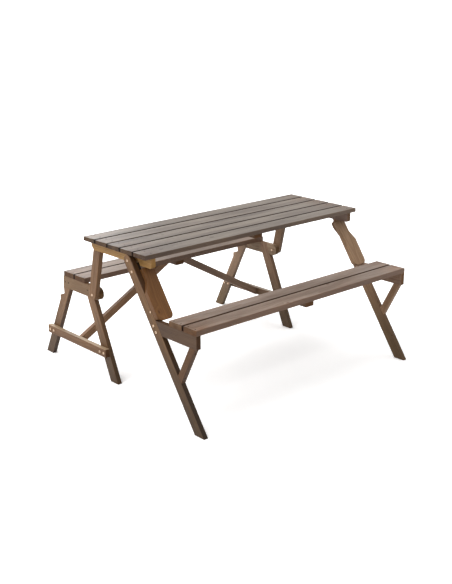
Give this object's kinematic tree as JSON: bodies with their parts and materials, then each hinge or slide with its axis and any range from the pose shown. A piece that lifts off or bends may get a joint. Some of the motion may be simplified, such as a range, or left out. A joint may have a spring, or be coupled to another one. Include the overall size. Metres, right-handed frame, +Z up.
{
  "type": "convertible picnic table bench",
  "caption": "Wooden picnic table with benches before and behind it, whose top folds back into a backrest to form a deep bench with armrests.",
  "frame": {"origin": "on the floor under the middle of the whole object, shown as a table", "axes": "+X along the table and the seats, +Y from the front bench to the rear bench, +Z up"},
  "size_m": [1.3636, 1.335, 0.72],
  "materials": {
    "table_wood": "matt greyish stain over softwood grain",
    "seat_wood": "matt greyish brown stain over softwood grain",
    "frame_wood": "matt warm brown stain over softwood grain",
    "armrest_wood": "matt warm brown stain over softwood grain",
    "bracket_wood": "matt brown stain over softwood grain",
    "bright_bolts": "zinc plated",
    "dark_screws": "dark coated"
  },
  "bodies": {
    "rear_bench": {"rear_support_left": "frame_wood", "rear_support_right": "frame_wood", "rear_leg_left": "frame_wood", "rear_leg_right": "frame_wood", "inner_leg_left": "frame_wood", "inner_leg_right": "frame_wood", "rung_left": "frame_wood", "rung_right": "frame_wood", "brace_left": "frame_wood", "brace_right": "frame_wood", "rear_seat_slat_1": "seat_wood", "rear_seat_slat_2": "seat_wood", "rear_seat_batten": "frame_wood", "rear_seat_screws": "dark_screws", "rear_seat_batten_screws": "dark_screws", "rear_frame_bolts": "bright_bolts", "rear_lap_screws": "dark_screws", "table_pivot_bolts": "bright_bolts", "table_pivot_washers": "bright_bolts"},
    "table_top": {"table_slat_1": "table_wood", "table_slat_2": "table_wood", "table_slat_3": "table_wood", "table_slat_4": "table_wood", "table_slat_5": "table_wood", "end_batten_left": "frame_wood", "end_batten_right": "frame_wood", "link_left": "frame_wood", "link_right": "frame_wood", "table_batten": "frame_wood", "table_screws": "dark_screws", "table_batten_screws": "dark_screws", "link_screws": "dark_screws"},
    "front_bench": {"front_leg_left": "frame_wood", "front_leg_right": "frame_wood", "front_support_left": "frame_wood", "front_support_right": "frame_wood", "prop_left": "frame_wood", "prop_right": "frame_wood", "front_seat_slat_1": "seat_wood", "front_seat_slat_2": "seat_wood", "front_seat_batten": "frame_wood", "front_seat_screws": "dark_screws", "front_seat_batten_screws": "dark_screws", "front_frame_bolts": "bright_bolts", "front_leg_screws": "dark_screws", "seat_pivot_bolts": "bright_bolts", "seat_pivot_spacers": "bright_bolts", "prop_screws": "dark_screws"},
    "left_arm": {"armrest_left": "armrest_wood", "armrest_bracket_left": "bracket_wood", "armrest_bolt_left": "bright_bolts"},
    "right_arm": {"armrest_right": "armrest_wood", "armrest_bracket_right": "bracket_wood", "armrest_bolt_right": "bright_bolts"}
  },
  "joints": [
    {"name": "table_fold", "type": "hinge", "parent": "rear_bench", "child": "table_top", "pos_m": [0, 0.198, 0.417], "axis": [-1, 0, 0], "range_deg": [0, 109.77]},
    {"name": "front_bench_swing", "type": "hinge", "parent": "table_top", "child": "front_bench", "pos_m": [0, -0.168, 0.674], "axis": [1, 0, 0], "range_deg": [0, 109.77]},
    {"name": "left_armrest_swing", "type": "hinge", "parent": "front_bench", "child": "left_arm", "pos_m": [0, -0.19884, 0.62968], "axis": [-1, 0, 0], "range_deg": [0, 55.2]},
    {"name": "right_armrest_swing", "type": "hinge", "parent": "front_bench", "child": "right_arm", "pos_m": [0, -0.19884, 0.62968], "axis": [-1, 0, 0], "range_deg": [0, 55.2]}
  ],
  "couplings": [
    {"joint": "front_bench_swing", "follows": "table_fold", "ratio": 1},
    {"joint": "left_armrest_swing", "follows": "table_fold", "ratio": 0.5022},
    {"joint": "right_armrest_swing", "follows": "table_fold", "ratio": 0.5022}
  ]
}
